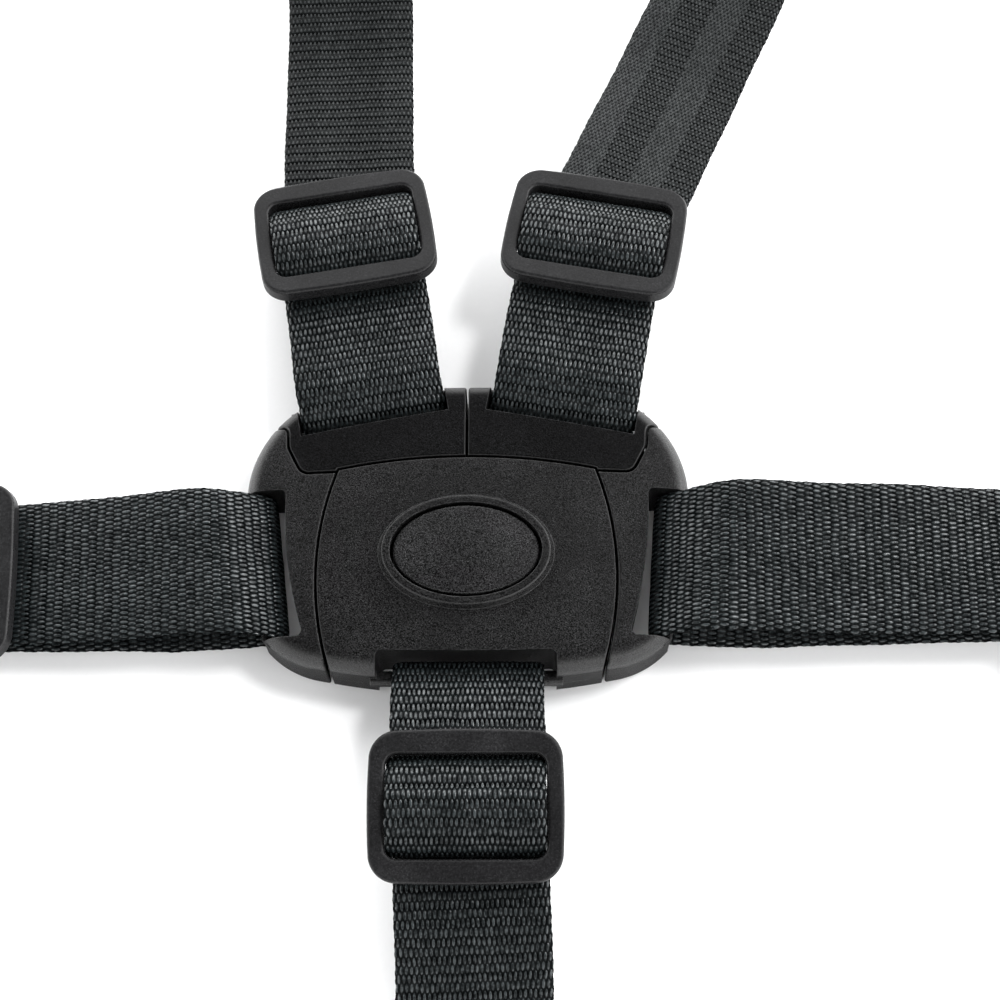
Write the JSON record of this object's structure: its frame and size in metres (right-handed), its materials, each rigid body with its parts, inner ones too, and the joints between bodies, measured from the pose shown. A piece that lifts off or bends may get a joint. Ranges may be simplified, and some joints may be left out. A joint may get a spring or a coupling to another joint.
{
  "type": "child seat harness",
  "caption": "Child-seat harness: centre-release buckle joining shoulder, waist and crotch webbing straps, each with a sliding adjuster and a sewn anchor loop.",
  "frame": {"origin": "centre of the buckle's flat back face", "axes": "+X to the right waist strap seen from the front, +Y to the shoulder straps, +Z out of the buckle's front"},
  "size_m": [0.3422, 0.2775, 0.0182],
  "materials": {
    "buckle_plastic": "fine spark-eroded grain",
    "adjuster_plastic": "smooth semi-matte moulding",
    "webbing": "woven polyester, twill bands",
    "latch_steel": "stamped, zinc plated",
    "spring_steel": "drawn wire",
    "screw_steel": "blackened zinc"
  },
  "bodies": {
    "buckle": {"front_cover": "buckle_plastic", "back_cover": "buckle_plastic", "housing_screws": "screw_steel", "button_spring": "spring_steel", "ejector_spring": "spring_steel"},
    "button": {"release_button": "buckle_plastic", "lock_plate": "latch_steel"},
    "waist_tongue_left": {"waist_tongue_left": "buckle_plastic"},
    "waist_tongue_right": {"waist_tongue_right": "buckle_plastic"},
    "shoulder_tongue_left": {"shoulder_tongue_left": "buckle_plastic"},
    "shoulder_tongue_right": {"shoulder_tongue_right": "buckle_plastic"},
    "crotch_strap": {"crotch_strap": "webbing"},
    "crotch_adjuster": {"crotch_adjuster": "adjuster_plastic", "crotch_wrap": "webbing"},
    "shoulder_left_strap": {"shoulder_left_strap": "webbing"},
    "shoulder_left_adjuster": {"shoulder_left_adjuster": "adjuster_plastic", "shoulder_left_wrap": "webbing"},
    "shoulder_right_strap": {"shoulder_right_strap": "webbing"},
    "shoulder_right_adjuster": {"shoulder_right_adjuster": "adjuster_plastic", "shoulder_right_wrap": "webbing"},
    "waist_left_strap": {"waist_left_strap": "webbing"},
    "waist_left_adjuster": {"waist_left_adjuster": "adjuster_plastic", "waist_left_wrap": "webbing"},
    "waist_right_strap": {"waist_right_strap": "webbing"},
    "waist_right_adjuster": {"waist_right_adjuster": "adjuster_plastic", "waist_right_wrap": "webbing"}
  },
  "joints": [
    {"name": "button_press", "type": "slide", "parent": "buckle", "child": "button", "axis": [0, 0, -1], "range_m": [0, 0.0022], "stiffness_N_per_m": 1500, "springref_m": -0.002, "deforming": ["button_spring"]},
    {"name": "waist_pull_left", "type": "slide", "parent": "buckle", "child": "waist_tongue_left", "axis": [-1, 0, 0], "range_m": [0, 0.032]},
    {"name": "waist_pull_right", "type": "slide", "parent": "buckle", "child": "waist_tongue_right", "axis": [1, 0, 0], "range_m": [0, 0.032]},
    {"name": "shoulder_lift_left", "type": "slide", "parent": "waist_tongue_left", "child": "shoulder_tongue_left", "axis": [0, 1, 0], "range_m": [0, 0.018]},
    {"name": "shoulder_lift_right", "type": "slide", "parent": "waist_tongue_right", "child": "shoulder_tongue_right", "axis": [0, 1, 0], "range_m": [0, 0.018]},
    {"name": "crotch_swing", "type": "hinge", "parent": "buckle", "child": "crotch_strap", "pos_m": [0.00025, -0.0232, 0.007], "axis": [-1, 0, 0], "range_deg": [0, 50]},
    {"name": "crotch_adjust", "type": "slide", "parent": "crotch_strap", "child": "crotch_adjuster", "axis": [0, -0.9903, -0.1392], "range_m": [-0.002, 0.016]},
    {"name": "shoulder_left_swing", "type": "hinge", "parent": "shoulder_tongue_left", "child": "shoulder_left_strap", "pos_m": [-0.0165, 0.02465, 0.007], "axis": [0.9863, 0.165, 0], "range_deg": [0, 50]},
    {"name": "shoulder_left_adjust", "type": "slide", "parent": "shoulder_left_strap", "child": "shoulder_left_adjuster", "axis": [-0.162, 0.9682, -0.1908], "range_m": [-0.006, 0.016]},
    {"name": "shoulder_right_swing", "type": "hinge", "parent": "shoulder_tongue_right", "child": "shoulder_right_strap", "pos_m": [0.0165, 0.02465, 0.007], "axis": [0.9833, -0.1822, 0], "range_deg": [0, 50]},
    {"name": "shoulder_right_adjust", "type": "slide", "parent": "shoulder_right_strap", "child": "shoulder_right_adjuster", "axis": [0.1789, 0.9652, -0.1908], "range_m": [-0.006, 0.016]},
    {"name": "waist_left_swing", "type": "hinge", "parent": "waist_tongue_left", "child": "waist_left_strap", "pos_m": [-0.0343, -0.0042, 0.007], "axis": [-0.0349, 0.9994, 0], "range_deg": [0, 50]},
    {"name": "waist_left_adjust", "type": "slide", "parent": "waist_left_strap", "child": "waist_left_adjuster", "axis": [-0.9884, -0.0345, -0.1478], "range_m": [-0.02, 0.014]},
    {"name": "waist_right_swing", "type": "hinge", "parent": "waist_tongue_right", "child": "waist_right_strap", "pos_m": [0.0343, -0.0042, 0.007], "axis": [0, -1, 0], "range_deg": [0, 50]},
    {"name": "waist_right_adjust", "type": "slide", "parent": "waist_right_strap", "child": "waist_right_adjuster", "axis": [0.9925, 0, -0.1219], "range_m": [-0.03, 0.014]}
  ]
}
